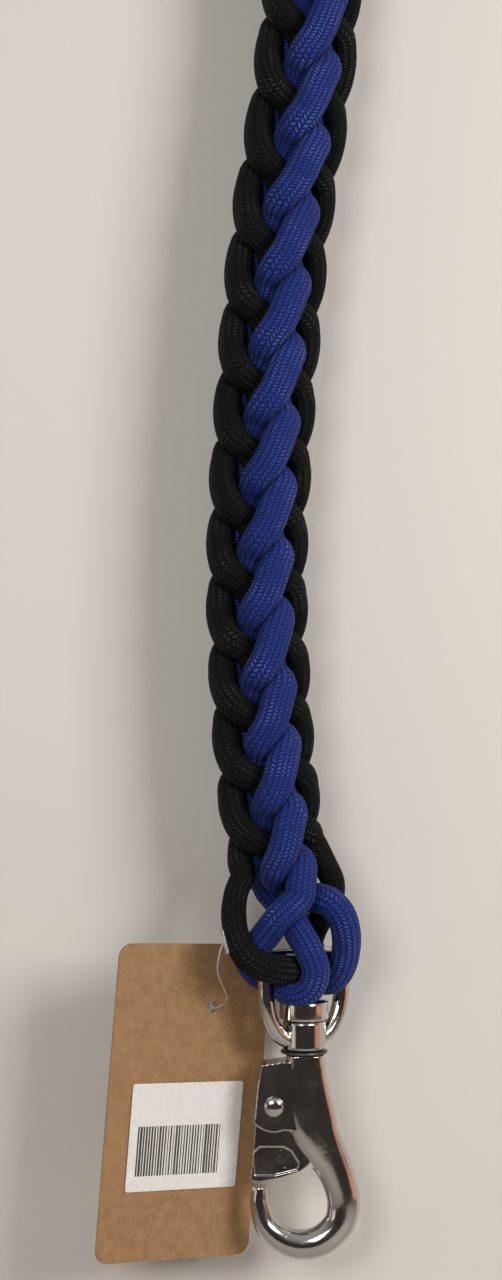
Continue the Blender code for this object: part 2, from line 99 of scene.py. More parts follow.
def objectPoint(tree, stretch=(1, 1, 1), turn=(0, 0, 0)):
    spot = addNode(tree, "ShaderNodeTexCoord").outputs["Object"]
    return addNode(tree, "ShaderNodeMapping", {"Vector": spot, "Rotation": turn, "Scale": stretch}).outputs[0]


def bump(tree, height, strength, distance, under=None):
    inputs = {"Height": height, "Strength": strength, "Distance": distance}
    if under is not None:
        inputs["Normal"] = under
    return addNode(tree, "ShaderNodeBump", inputs).outputs[0]


def newMaterial(name):
    mat = bpy.data.materials.new(name)
    mat.use_nodes = True
    return mat, mat.node_tree, mat.node_tree.nodes["Principled BSDF"]


# woven cover of the cords: columns of short slanting stitches round the cord, with painted shade in the hollows
# between stitches and a painted glint on their crowns
coverWeave = {"rowPitch": 0.92, "columns": 14, "slant": 0.75}


def cordCover(name, hollowShade, stitch, paintedGlint, sheen, gloss):
    mat, tree, shader = newMaterial(name)
    uv = addNode(tree, "ShaderNodeUVMap", uv_map="cordUv").outputs[0]
    split = addNode(tree, "ShaderNodeSeparateXYZ", {0: uv})
    around, along = split.outputs[0], split.outputs[1]
    column = calc(tree, "FLOOR", around)
    across = calc(tree, "SUBTRACT", calc(tree, "SUBTRACT", around, column), 0.5)
    side = calc(tree, "MODULO", column, 2.0)
    lean = calc(tree, "MULTIPLY_ADD", side, 2.0, -1.0)
    wobble = calc(tree, "MULTIPLY", noise(tree, objectPoint(tree), 260.0), 1.2)
    slant = calc(tree, "MULTIPLY", calc(tree, "MULTIPLY", across, lean), coverWeave["slant"])
    row = calc(tree, "ADD", along, slant)
    row = calc(tree, "ADD", calc(tree, "MULTIPLY_ADD", side, 0.5, row), wobble)
    near = calc(tree, "SUBTRACT", calc(tree, "FRACT", row), 0.5)
    crown = calc(tree, "SUBTRACT", 1.0, calc(tree, "MULTIPLY", calc(tree, "MULTIPLY", near, near), 4.0))
    edge = calc(tree, "POWER", calc(tree, "MULTIPLY", calc(tree, "ABSOLUTE", across), 2.0), 3.0)
    height = calc(tree, "MULTIPLY", crown, calc(tree, "SUBTRACT", 1.0, edge))
    fibre = noise(tree, objectPoint(tree), 2600.0, 3.0)
    patch = noise(tree, objectPoint(tree), 120.0, 2.0)
    # painted shade: darker where the stitches sink, mixed with the fibres' own tone
    shadeAndFibre = calc(tree, "MULTIPLY", ramp(tree, height, 0.1, 0.85), ramp(tree, fibre, 0.3, 0.7, 0.6, 1.1))
    color = blendColor(tree, shadeAndFibre, hollowShade, stitch)
    # painted highlight: a lighter glint colour on the stitch crowns, in patches
    glintMask = calc(tree, "MULTIPLY", ramp(tree, height, 0.72, 1.0), ramp(tree, patch, 0.45, 0.7))
    feed(tree, shader.inputs["Base Color"], blendColor(tree, glintMask, color, paintedGlint))
    feed(tree, shader.inputs["Roughness"], ramp(tree, fibre, 0.2, 0.8, 0.62, 0.85))
    shader.inputs["Sheen Weight"].default_value = sheen
    shader.inputs["Sheen Roughness"].default_value = 0.45
    shader.inputs["Specular IOR Level"].default_value = gloss
    weave = bump(tree, height, 0.75, 0.0004)
    feed(tree, shader.inputs["Normal"], bump(tree, fibre, 0.25, 0.0002, weave))
    return mat


# each cover: hollow colour (painted shade), stitch colour, painted glint colour, sheen weight, gloss
blueCover = cordCover("blueWovenCover", (0.003, 0.010, 0.070, 1), (0.013, 0.037, 0.26, 1),
                      (0.08, 0.14, 0.46, 1), 0.04, 0.2)
blackCover = cordCover("blackWovenCover", (0.002, 0.002, 0.0025, 1), (0.006, 0.0065, 0.0075, 1),
                       (0.040, 0.039, 0.036, 1), 0.01, 0.12)


# routes of the four cords: the part's own, moved a few millimetres to sit as soft cords do
braid = {"strands": 8, "lowest": 27.6, "highest": 300.0, "lowStitch": 18.2, "topStitch": 22.4,
         "stitches": 14.25, "turn": 20.0, "phase": 0.1, "middle": 7.8, "weave": 4.0, "crest": 0.4, "linger": 0.65,
         "bluePeak": 67.5, "blackPeak": 157.5, "blueStart": (0.125, 0.125), "blackStart": (0.9, 0.6),
         "blueFold": (0.5, 35.0), "blackFold": (1.0, 40.9)}
whip = {"low": 308.0, "length": 28.0, "rim": 2.0, "pinch": 0.95, "inside": 13.9, "twine": 2.5, "turns": 8}
handLoop = {"radius": 38.0, "middle": 430.0, "fullTurns": 6, "pair": 3.85, "startTurn": 63.4, "straight": 8.0}
centreLine = [(-4.6, 0.0, 14.0), (-5.2, 0.0, 28.5), (-9.2, 0.0, 51.3), (-12.3, 0.0, 85.5),
              (-13.4, 0.0, 125.4), (-11.1, 0.0, 171.0), (-7.1, 0.0, 216.6), (-1.1, 0.0, 256.5),
              (2.0, 0.0, 285.0), (1.0, 0.0, 298.0), (0.0, 0.0, 308.0), (0.0, 0.0, 340.0)]
blueHitch = [(-6.8, -12.4, 25.2), (-10.4, -10.0, 20.4), (-13.6, -8.6, 16.2), (-15.6, -6.0, 12.4),
             (-14.0, -1.9, 8.8), (-10.6, -0.2, 6.2), (-7.6, -1.2, 4.8), (-5.8, -4.4, 4.0),
             (-4.4, -8.6, 3.4), (-1.4, -11.0, 3.2), (1.6, -12.0, 5.4), (3.0, -12.6, 10.4),
             (1.0, -12.6, 16.0), (-1.8, -10.6, 20.6), (-3.8, -6.6, 24.0), (-4.2, -2.6, 26.6),
             (-2.0, 0.2, 28.4), (2.2, -1.6, 29.4), (6.8, -4.8, 28.6), (10.2, -5.8, 25.2),
             (11.8, -4.8, 19.8), (11.8, -2.4, 13.8), (10.4, -0.6, 8.8), (8.0, 0.6, 5.8),
             (5.4, 4.0, 5.0), (4.8, 8.8, 5.4), (4.2, 12.6, 8.4), (1.8, 14.6, 13.8), (-1.8, 14.2, 20.6)]
blackHitch = [(6.6, 0.8, 38.0), (8.6, 1.8, 33.0), (7.8, 1.8, 28.4), (5.2, 2.0, 23.8), (2.8, 4.6, 18.8),
              (1.2, 6.8, 14.0), (-0.2, 6.0, 9.0), (-0.8, 2.4, 6.0), (0.4, -1.4, 6.0), (-0.2, -5.4, 8.0),
              (-3.2, -9.4, 9.6), (-8.0, -12.6, 10.4), (-13.0, -14.6, 12.0), (-16.8, -14.8, 15.0),
              (-19.2, -11.4, 20.0), (-20.0, -7.4, 25.6), (-19.4, -5.2, 31.2)]


def smooth(points, per):  # even curve through the points
    pts = [np.array(p, float) for p in points]
    pts = [2 * pts[0] - pts[1]] + pts + [2 * pts[-1] - pts[-2]]
    out = []
    for i in range(1, len(pts) - 2):
        a, b, c, d = pts[i - 1:i + 3]
        for k in range(per):
            t = k / per
            out.append(0.5 * (2 * b + (c - a) * t + (2 * a - 5 * b + 4 * c - d) * t * t
                              + (3 * b - a - 3 * c + d) * t ** 3))
    out.append(pts[-2])
    return np.array(out)


def centreAt(z, line):
    x = np.interp(z, line[:, 2], line[:, 0])
    slope = (np.interp(z + 2, line[:, 2], line[:, 0]) - np.interp(z - 2, line[:, 2], line[:, 0])) / 4
    size = math.hypot(slope, 1.0)
    return np.array([x, 0.0, z]), np.array([1.0 / size, 0.0, -slope / size])


def heightOf(stitch):  # the stitches grow upward
    grow = (braid["topStitch"] - braid["lowStitch"]) / (braid["highest"] - braid["lowest"])
    share = stitch * math.log(braid["topStitch"] / braid["lowStitch"]) / braid["stitches"]
    return braid["lowest"] + braid["lowStitch"] * (math.exp(share) - 1) / grow


def strandSpot(colour, number, stitch):  # right and front of the middle, over two strands and under two
    angle = math.pi / 2 * (1 - stitch - braid["phase"] + number)
    if colour == "black":
        angle = math.pi - angle
    wave = 2 * (angle - math.radians(braid[colour + "Peak"]))
    lift = math.copysign(abs(math.cos(wave)) ** braid["crest"], math.cos(wave))
    out = braid["middle"] + braid["weave"] * lift
    angle += math.radians(180 / braid["strands"] - braid["turn"]) - braid["linger"] / 2 * math.sin(wave)
    return out * np.array([math.cos(angle), math.sin(angle)])


def braidStrand(colour, number, first, line):
    steps = int(round((braid["stitches"] - first) * 6))
    out = []
    for k in range(steps + 1):
        stitch = first + (braid["stitches"] - first) * k / steps
        spot = strandSpot(colour, number, stitch)
        mid, right = centreAt(heightOf(stitch), line)
        out.append(mid + right * spot[0] + np.array([0.0, -spot[1], 0.0]))
    spot = spot * whip["pinch"]
    mid, right = centreAt(whip["low"], line)
    out.append(mid + right * spot[0] + np.array([0.0, -spot[1], 0.0]))
    return out


def loopPoints(isBlue):  # blue and black laid round each other, up the left leg, over and down the right
    low = whip["low"] + whip["length"]
    legs = [(-4.0, 1.8, low + 1), (-4.8, 1.9, low + 8), (-8.8, 2.0, low + 20), (-18.0, 1.6, low + 42),
            (-29.0, 1.0, low + 66), (-36.0, 0.4, handLoop["middle"] - 14)]
    top = [(handLoop["radius"] * math.cos(a), 0.0, handLoop["middle"] + handLoop["radius"] * math.sin(a))
           for a in np.linspace(math.pi, 0, 7)]
    line = smooth(legs + top + [(-x, -y, z) for x, y, z in reversed(legs)], 6)
    walk = np.concatenate([[0], np.cumsum(np.linalg.norm(np.diff(line, axis=0), axis=1))])
    share = np.clip((walk - handLoop["straight"]) / (walk[-1] - 2 * handLoop["straight"]), 0, 1)
    start = math.radians(-handLoop["startTurn"] - braid["turn"])
    end = math.radians(handLoop["startTurn"] + braid["turn"] - 360 * handLoop["fullTurns"])
    out = []
    for i, p in enumerate(line):
        t = line[min(i + 1, len(line) - 1)] - line[max(i - 1, 0)]
        right = np.cross(t, (0.0, -1.0, 0.0))
        right /= np.linalg.norm(right)
        front = np.cross(right, t / np.linalg.norm(t))
        angle = start + (end - start) * share[i] + (0 if isBlue else math.pi)
        out.append(p + handLoop["pair"] * (right * math.cos(angle) + front * math.sin(angle)))
    return out


def cordRoute(colour, hitch, line):  # down the braid, round the eye, up the braid and round the hand loop
    starts = braid[colour + "Start"]
    first = braidStrand(colour, 2 if colour == "blue" else 0, starts[1], line)
    second = braidStrand(colour, 0 if colour == "blue" else 2, starts[0], line)
    second.append(second[-1] + np.array([0.0, 0.0, whip["length"] * 0.4]))
    seat = first[-1] + np.array([0.0, 0.0, whip["length"] / 2])
    points = [seat - np.array([0.0, 0.0, 0.6])] + first[::-1] + [np.array(p) for p in hitch[::-1]] + second
    return points + loopPoints(colour == "blue") + [seat + np.array([0.0, 0.0, 0.6])]


def secondRoute(colour, line):  # down the braid, folded back in its middle, and up again
    start, foldZ = braid[colour + "Fold"]
    first = braidStrand(colour, 1, start, line)
    second = braidStrand(colour, 3, start, line)
    fold = []
    for share in (0.2, 0.5, 0.8):
        p = first[0] + (second[0] - first[0]) * share
        drop = (first[0][2] - foldZ) * (0.7 if share != 0.5 else 1.0)
        fold.append(p + centreAt(p[2] - drop, line)[0] - centreAt(p[2], line)[0])
    ends = [p[-1] + np.array([0.0, 0.0, whip["length"] / 4]) for p in (first, second)]
    return [ends[0]] + first[::-1] + fold + second + [ends[1]]


def evenly(points, step):
    walk = np.concatenate([[0], np.cumsum(np.linalg.norm(np.diff(points, axis=0), axis=1))])
    marks = np.linspace(0, walk[-1], int(walk[-1] / step) + 1)
    return np.stack([np.interp(marks, walk, points[:, k]) for k in range(3)], 1), marks


# the soft cords: round where free, pressed flat on each other and on the metal
cord = {"radius": 4.85, "hitchZ": (12.0, 20.0, 32.0, 50.0), "blueHitch": (4.1, 4.2, 4.4, 4.7),
        "blackHitch": (4.2, 3.6, 3.6, 4.7), "inBraid": 4.7, "flatten": 0.36, "flatFrom": (26.0, 44.0),
        "thinnest": 1.2, "ownReach": 15.0, "evenings": 3, "step": 0.9, "sides": 26, "seam": 0.12}


def ringRadius(path, colour):  # drawn thinner where it is hitched round the eye
    heights = list(cord["hitchZ"]) + [whip["low"], whip["low"] + whip["length"]]
    return np.interp(path[:, 2], heights, list(cord[colour + "Hitch"]) + [cord["inBraid"], cord["radius"]])


def transport(path):  # side and up of each ring, without twist
    tangent = np.gradient(path, axis=0)
    tangent /= np.linalg.norm(tangent, axis=1)[:, None]
    side = np.cross(tangent[0], (0.3, 1.0, 0.2))
    sides = []
    for t in tangent:
        side = side - t * side.dot(t)
        side /= np.linalg.norm(side)
        sides.append(side)
    sides = np.array(sides)
    return sides, np.cross(tangent, sides)


def pressed(path, radius, softTree, softInfo, selfName, hardPoints):  # rings squeezed by what they meet
    sides, ups = transport(path)
    angle = np.linspace(0, 2 * math.pi, cord["sides"], endpoint=False)
    rays = np.cos(angle)[None, :, None] * sides[:, None] + np.sin(angle)[None, :, None] * ups[:, None]
    outward = path - np.array([centreAt(z, middleLine)[0] for z in path[:, 2]])
    outward /= np.maximum(np.linalg.norm(outward, axis=1), 0.1)[:, None]
    lean = np.clip(np.einsum("ikc,ic->ik", rays, outward), 0, 1)
    flatZ = list(cord["flatFrom"]) + [whip["low"], whip["low"] + whip["length"] / 2]
    inBraid = np.interp(path[:, 2], flatZ, [0, 1, 1, 0])
    reach = radius[:, None] * (1 - cord["flatten"] * inBraid[:, None] * lean ** 2)  # flat outside
    apart = int(cord["ownReach"] / cord["step"])
    hardSpots = np.array([p for p, size in hardPoints])
    hardSizes = np.array([size for p, size in hardPoints])
    for i, mid in enumerate(path):
        spots, limits = [], []
        for co, index, dist in softTree.find_range(Vector(mid), 2 * radius[i] + 0.6):
            cordName, ring, size = softInfo[index]
            if (cordName == selfName and abs(ring - i) < apart) or dist < 1e-6:
                continue
            spots.append((np.array(co) - mid) / dist)
            limits.append(dist * radius[i] / (radius[i] + size) - cord["seam"] / 2)
        away = hardSpots - mid
        dist = np.linalg.norm(away, axis=1)
        close = dist < radius[i] + hardSizes + 0.3
        for a, d, size in zip(away[close], dist[close], hardSizes[close]):
            spots.append(a / d)
            limits.append(d - size - cord["seam"])
        if spots:
            lean = rays[i] @ np.array(spots).T
            cut = np.where(lean > 0.08, np.array(limits)[None, :] / np.maximum(lean, 0.08), 99.0)
            reach[i] = np.minimum(reach[i], np.maximum(cut.min(1), cord["thinnest"]))
        if mid[2] < 9 and math.hypot(mid[0], mid[1]) < 12:  # rests on the stud's head
            down = -rays[i][:, 2]
            space = (mid[2] - snap["clear"]) / np.maximum(down, 0.05)
            reach[i] = np.where(down > 0.05, np.minimum(reach[i], space), reach[i])
        if whip["low"] - 1 < mid[2] < whip["low"] + whip["length"] + 1:  # inside the whipping
            out = math.hypot(mid[0], mid[1])
            lean = (rays[i][:, 0] * mid[0] + rays[i][:, 1] * mid[1]) / max(out, 0.1)
            space = np.maximum((whip["inside"] - out) / np.maximum(lean, 0.1), cord["thinnest"])
            reach[i] = np.where(lean > 0.1, np.minimum(reach[i], space), reach[i])
    for _ in range(cord["evenings"]):
        ends = np.concatenate([reach[:1], reach, reach[-1:]])
        reach = (2 * reach + np.roll(reach, 1, 1) + np.roll(reach, -1, 1) + ends[:-2] + ends[2:]) / 6
    return path[:, None] + rays * reach[:, :, None]


def cordMesh(name, rings, marks, mat):
    bm = bmesh.new()
    uvLayer = bm.loops.layers.uv.new("cordUv")
    count = cord["sides"]
    verts = [[bm.verts.new(place(*p)) for p in ring] for ring in rings]
    for i in range(len(rings) - 1):
        for k in range(count):
            face = bm.faces.new((verts[i][k], verts[i][(k + 1) % count],
                                 verts[i + 1][(k + 1) % count], verts[i + 1][k]))
            face.smooth = True
            corners = ((k, i), (k + 1, i), (k + 1, i + 1), (k, i + 1))
            for loop, (a, row) in zip(face.loops, corners):
                loop[uvLayer].uv = (a / count * coverWeave["columns"], marks[row] / coverWeave["rowPitch"])
    for ring in (verts[0], verts[-1]):
        bm.faces.new(ring)
    return finishMesh(name, bm, mat)


def finishMesh(name, bm, mat, smoothFaces=True):
    bmesh.ops.recalc_face_normals(bm, faces=bm.faces)
    mesh = bpy.data.meshes.new(name)
    bm.to_mesh(mesh)
    bm.free()
    if smoothFaces:
        mesh.shade_smooth()
    mesh.materials.append(mat)
    ob = bpy.data.objects.new(name, mesh)
    scene.collection.objects.link(ob)
    return ob


# snap: sizes shared by its pieces
snap = {"eyeYaw": 30.0, "rod": 4.7, "half": 12.6, "bar": 12.5, "head": 14.0, "headTall": 5.1, "post": 5.6,
        "hub": 12.3, "hubTall": 8.2, "washer": 0.8, "gateThick": 5.0, "cheek": 1.6, "pin": 2.7, "clear": 0.3,
        "pivot": (-8.6, -29.6), "rivetHead": 5.6}
hubTop = -snap["headTall"] - 2 * snap["clear"]
hubLow = hubTop - snap["hubTall"]
washerTop = hubLow - snap["clear"]
bodyTop = washerTop - snap["washer"] - snap["clear"]
cheekIn = snap["gateThick"] / 2 + snap["clear"]
cheekOut = cheekIn + snap["cheek"]


def eyeLine(per):
    half = [(-4.4, -11.6), (-8.2, -9.4), (-11.0, -5.2), (-12.3, -0.6), (-snap["half"], 4.0),
            (-snap["half"], snap["bar"] - 4.0), (-snap["half"] + 1.2, snap["bar"] - 1.2),
            (-snap["half"] + 4.0, snap["bar"])]
    yaw = math.radians(snap["eyeYaw"])
    return smooth([(u * math.cos(yaw), u * math.sin(yaw), z)
                   for u, z in half + [(-u, z) for u, z in reversed(half)]], per)


fastener = {"barTop": (-23.4, -13.0, 21.6), "barFoot": (-21.6, -16.6, 15.4), "room": 0.65, "bar": 0.5,
            "thread": 0.24, "backHalf": 3.6}  # its first bar lies beside the black cord
tieBar = [np.array(fastener["barTop"]), np.array(fastener["barFoot"])]
hardPoints = [(p, snap["rod"] / 2) for p in eyeLine(6)]
hardPoints += [(tieBar[0] + (tieBar[1] - tieBar[0]) * k / 12, fastener["room"]) for k in range(13)]

middleLine = smooth(centreLine, 6)
cords = {"blueCord": {"node": "blue_cord", "colour": "blue",
                      "points": cordRoute("blue", blueHitch, middleLine)},
         "blackCord": {"node": "black_cord", "colour": "black",
                       "points": cordRoute("black", blackHitch, middleLine)},
         "secondBlueCord": {"node": "second_blue_cord", "colour": "blue",
                            "points": secondRoute("blue", middleLine)},
         "secondBlackCord": {"node": "second_black_cord", "colour": "black",
                             "points": secondRoute("black", middleLine)}}
for item in cords.values():
    item["path"], item["walk"] = evenly(smooth(item["points"], 5), cord["step"])
    item["radii"] = ringRadius(item["path"], item["colour"])
softInfo = [(name, i, size) for name, item in cords.items() for i, size in enumerate(item["radii"])]
softTree = kdtree.KDTree(len(softInfo))
for index, (name, i, size) in enumerate(softInfo):
    softTree.insert(Vector(cords[name]["path"][i]), index)
softTree.balance()
for name, item in cords.items():
    rings = pressed(item["path"], item["radii"], softTree, softInfo, name, hardPoints)
    piece = cordMesh(name, rings, item["walk"], blueCover if item["colour"] == "blue" else blackCover)
    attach(piece, "rope")
    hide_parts(item["node"])
    print(name, round(item["walk"][-1]), "mm,", len(piece.data.polygons), "faces")


# geometry nodes helpers
def newTree(name, kinds):  # the tree, its named inputs, and their identifiers for the modifier
    tree = bpy.data.node_groups.new(name, "GeometryNodeTree")
    tree.interface.new_socket("Geometry", in_out="OUTPUT", socket_type="NodeSocketGeometry")
    ids = {key: tree.interface.new_socket(key, in_out="INPUT", socket_type="NodeSocket" + kind).identifier
           for key, kind in kinds.items()}
    return tree, tree.nodes.new("NodeGroupInput").outputs, ids


def bakeModifiers(ob):
    graph = bpy.context.evaluated_depsgraph_get()
    mesh = bpy.data.meshes.new_from_object(ob.evaluated_get(graph))
    ob.modifiers.clear()
    ob.data = mesh
    return ob


def bakeTree(name, tree, inputs, ids, shape, values):  # realized, painted and made a plain mesh
    flat = addNode(tree, "GeometryNodeRealizeInstances", {0: shape}).outputs[0]
    paint = addNode(tree, "GeometryNodeSetMaterial", {"Geometry": flat, "Material": inputs["Finish"]})
    tree.links.new(paint.outputs[0], tree.nodes.new("NodeGroupOutput").inputs[0])
    ob = bpy.data.objects.new(name, bpy.data.meshes.new(name))
    scene.collection.objects.link(ob)
    mod = ob.modifiers.new("nodes", "NODES")
    mod.node_group = tree
    for key, value in values.items():
        mod[ids[key]] = value
    return bakeModifiers(ob)


# whipping of waxed twine, a spiral tube
def twineLook():
    mat, tree, shader = newMaterial("waxedTwine")
    ply = addNode(tree, "ShaderNodeTexWave", {"Vector": objectPoint(tree, (1, 1, 2.2), (0.5, 0.4, 0)),
                                              "Scale": 420.0, "Distortion": 1.5}).outputs[1]
    # painted shade: darker in the grooves between the plies, where the bump sinks
    color = blendColor(tree, ply, (0.006, 0.006, 0.007, 1), (0.03, 0.03, 0.032, 1))
    feed(tree, shader.inputs["Base Color"], color)
    wax = noise(tree, objectPoint(tree), 900.0)
    feed(tree, shader.inputs["Roughness"], ramp(tree, wax, 0.3, 0.7, 0.38, 0.6))
    feed(tree, shader.inputs["Normal"], bump(tree, ply, 0.5, 0.0003))
    return mat


def makeWhipping():
    tree, inputs, ids = newTree("whippingTurns", {"Radius": "Float", "Height": "Float", "Turns": "Float",
                                                  "Twine": "Float", "Base": "Vector", "Finish": "Material"})
    spiral = addNode(tree, "GeometryNodeCurveSpiral", {
        "Resolution": 40, "Rotations": inputs["Turns"], "Start Radius": inputs["Radius"],
        "End Radius": inputs["Radius"], "Height": inputs["Height"]}).outputs[0]
    ring = addNode(tree, "GeometryNodeCurvePrimitiveCircle", {"Resolution": 14, "Radius": inputs["Twine"]})
    sweep = addNode(tree, "GeometryNodeCurveToMesh", {"Curve": spiral, "Profile Curve": ring.outputs[0],
                                                      "Fill Caps": True}).outputs[0]
    lift = addNode(tree, "GeometryNodeTransform", {"Geometry": sweep, "Translation": inputs["Base"]})
    ob = bakeTree("loopWhipping", tree, inputs, ids, lift.outputs[0], {
        "Radius": (whip["inside"] + whip["twine"] / 2) * mm, "Turns": float(whip["turns"]),
        "Height": (whip["length"] - 2 * whip["rim"]) * mm, "Twine": whip["twine"] / 2 * mm,
        "Base": place(0, 0, whip["low"] + whip["rim"]), "Finish": twineLook()})
    ob.data.shade_smooth()
    return ob


whippingPiece = makeWhipping()
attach(whippingPiece, "rope")
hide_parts("loop_whipping")
print("whipping", len(whippingPiece.data.polygons), "faces")


# plated metal: bright chrome over a cast surface, with a few pits
def chromeLook(name, pits):
    mat, tree, shader = newMaterial(name)
    spot = objectPoint(tree)
    cloud = noise(tree, spot, 160.0, 3.0)
    grain = noise(tree, spot, 1500.0, 2.0)
    color = blendColor(tree, cloud, (0.46, 0.44, 0.43, 1), (0.66, 0.64, 0.62, 1))
    feed(tree, shader.inputs["Base Color"], color)
    shader.inputs["Metallic"].default_value = 1.0
    feed(tree, shader.inputs["Roughness"], ramp(tree, calc(tree, "ADD", cloud, grain), 0.7, 1.3, 0.07, 0.17))
    wave = bump(tree, cloud, 0.10, 0.0006)
    if pits:
        cells = addNode(tree, "ShaderNodeTexVoronoi", {"Vector": spot, "Scale": 420.0}).outputs[0]
        hole = calc(tree, "MULTIPLY", ramp(tree, cells, 0.10, 0.28, 1.0, 0.0),
                    ramp(tree, noise(tree, spot, 90.0), 0.50, 0.62))
        wave = bump(tree, calc(tree, "MULTIPLY", hole, -1.0), 0.12, 0.0002, wave)
    feed(tree, shader.inputs["Normal"], wave)
    return mat


def darkSteel(name):
    mat, tree, shader = newMaterial(name)
    grain = noise(tree, objectPoint(tree, (1, 1, 6)), 900.0, 3.0)
    color = blendColor(tree, grain, (0.05, 0.05, 0.05, 1), (0.16, 0.155, 0.15, 1))
    feed(tree, shader.inputs["Base Color"], color)
    shader.inputs["Metallic"].default_value = 1.0
    feed(tree, shader.inputs["Roughness"], ramp(tree, grain, 0.2, 0.8, 0.25, 0.5))
    return mat


chromeCast = chromeLook("chromeCast", True)
chromeTurned = chromeLook("chromeTurned", False)
dullSteel = darkSteel("dullSteel")


def lathe(profile, sides):  # (radius, z) points turned about Z; a ring if it doesn't start on the axis
    bm = bmesh.new()
    rings = []
    for radius, z in profile:
        if radius == 0:
            rings.append([bm.verts.new(place(0, 0, z))])
        else:
            rings.append([bm.verts.new(place(radius * math.cos(2 * math.pi * k / sides),
                                             radius * math.sin(2 * math.pi * k / sides), z))
                          for k in range(sides)])
    pairs = list(zip(rings, rings[1:]))
    if profile[0][0] != 0:
        pairs.append((rings[-1], rings[0]))
    for low, high in pairs:
        for k in range(sides):
            n = (k + 1) % sides
            face = []
            for v in (low[k % len(low)], low[n % len(low)], high[n % len(high)], high[k % len(high)]):
                if v not in face:
                    face.append(v)
            if len(face) > 2:
                bm.faces.new(face)
    return bm


def plug(radius, low, high, sides):  # plain cylinder that cuts a bore
    return lathe([(0, low), (radius, low), (radius, high), (0, high)], sides)


def prism(outline, y0, y1):
    bm = bmesh.new()
    front = [bm.verts.new(place(x, y0, z)) for x, z in outline]
    back = [bm.verts.new(place(x, y1, z)) for x, z in outline]
    bm.faces.new(front)
    bm.faces.new(list(reversed(back)))
    for k in range(len(outline)):
        n = (k + 1) % len(outline)
        bm.faces.new((front[k], back[k], back[n], front[n]))
    return bm


def arc(cx, cz, radius, a0, a1, steps):
    return [(cx + radius * math.cos(math.radians(a0 + (a1 - a0) * k / steps)),
             cz + radius * math.sin(math.radians(a0 + (a1 - a0) * k / steps))) for k in range(steps + 1)]


def skinRings(bm, rings):  # closed tube through rings of the same count
    count = len(rings[0])
    for low, high in zip(rings, rings[1:]):
        for k in range(count):
            bm.faces.new((low[k], low[(k + 1) % count], high[(k + 1) % count], high[k]))
    bm.faces.new(rings[0])
    bm.faces.new(rings[-1])
    return bm


def loft(line, sides):  # middle line of (x, z, half width, half depth), boxed shank and round bow
    bm = bmesh.new()
    rings = []
    for i, (x, z, w, h) in enumerate(line):
        a, b = line[max(i - 1, 0)], line[min(i + 1, len(line) - 1)]
        t = np.array([b[0] - a[0], b[1] - a[1]])
        t = t / np.linalg.norm(t) if i else np.array([0.0, -1.0])
        square = np.interp(z, [-38.0, -20.0], [1.0, 0.6])
        ring = []
        for k in range(sides):
            angle = 2 * math.pi * k / sides
            c = math.copysign(abs(math.cos(angle)) ** square, math.cos(angle))
            s = math.copysign(abs(math.sin(angle)) ** square, math.sin(angle))
            ring.append(bm.verts.new(place(x - t[1] * w * c, h * s, bodyTop + z + t[0] * w * c)))
        rings.append(ring)
    return skinRings(bm, rings)


def sweepTube(line, radius, sides):
    sidesOf, ups = transport(line)
    angle = np.linspace(0, 2 * math.pi, sides, endpoint=False)
    bm = bmesh.new()
    rings = [[bm.verts.new(place(*(p + radius * (math.cos(a) * s + math.sin(a) * u)))) for a in angle]
             for p, s, u in zip(line, sidesOf, ups)]
    return skinRings(bm, rings)


def combine(target, toolMesh, operation):
    tool = finishMesh("tool", toolMesh, target.data.materials[0], False)
    mod = target.modifiers.new("cut", "BOOLEAN")
    mod.operation, mod.solver, mod.object = operation, "EXACT", tool
    bakeModifiers(target)
    bpy.data.objects.remove(tool)


def castFinish(ob, voxel, rounds):  # even skin whose edges are rounded as a casting's are
    mesh = ob.modifiers.new("skin", "REMESH")
    mesh.mode, mesh.voxel_size = "VOXEL", voxel * mm
    soft = ob.modifiers.new("soft", "SMOOTH")
    soft.factor, soft.iterations = 0.5, rounds
    bakeModifiers(ob)
    ob.data.shade_smooth()
    return ob


def turnY(bm, at):  # a solid made about Z turned to lie along Y through at
    turn = Matrix.Rotation(math.pi / 2, 4, "X") @ Matrix.Translation(-place(0, 0, 0))
    bmesh.ops.transform(bm, matrix=Matrix.Translation(place(at[0], 0, at[1])) @ turn, verts=bm.verts)
    return bm


pinR, boreR = snap["pin"] / 2 + snap["clear"], snap["post"] / 2 + snap["clear"]
skins = {"hook": (0.24, 3), "gate": (0.15, 2), "eye": (0.2, 3)}  # grain of the casting, rounds of smoothing
hookLine = [(0.3, 0.0, 5.4, 5.2), (0.6, -3.7, 5.7, 5.1), (0.9, -8.6, 6.2, 5.0), (1.6, -15.6, 7.0, 4.9),
            (3.2, -22.0, 6.9, 4.8), (6.2, -28.0, 5.9, 4.5), (9.2, -34.0, 5.1, 4.2), (11.1, -40.0, 4.8, 4.0),
            (11.2, -44.6, 4.65, 3.9), (9.8, -48.9, 4.5, 3.9), (5.4, -53.0, 4.4, 3.9),
            (-0.3, -54.5, 4.3, 3.9), (-6.0, -53.1, 3.9, 3.7), (-10.8, -49.0, 3.3, 3.4),
            (-12.7, -42.9, 2.7, 3.0), (-12.7, -39.5, 2.4, 2.8), (-12.5, -37.7, 2.1, 2.6)]


def makeHook():
    px, pz = snap["pivot"]
    body = finishMesh("hookBody", loft(smooth(hookLine, 6), 64), chromeCast)
    cheek = [(1.2, -18.0), (-5.4, -16.9), (-12.2, -17.9), (-13.2, -25.0), (-14.0, -33.6)]
    cheek += arc(px, pz, 7.4, 216, 292, 14) + [(1.2, -37.0)]
    combine(body, prism(cheek, -cheekOut, cheekOut), "UNION")
    slot = arc(px, pz, 21.3, -128, -46, 26) + arc(px, pz, 20.3, -38, -31, 3) + arc(px, pz, 5.4, -31, 100, 20)
    combine(body, prism(slot + [(-18.0, -20.5), (-18.0, -42.0)], -cheekIn, cheekIn), "DIFFERENCE")
    combine(body, turnY(plug(pinR, -9, 9, 24), (px, pz)), "DIFFERENCE")
    combine(body, plug(boreR, bodyTop - 7.4, bodyTop + 2, 32), "DIFFERENCE")
    return castFinish(body, *skins["hook"])


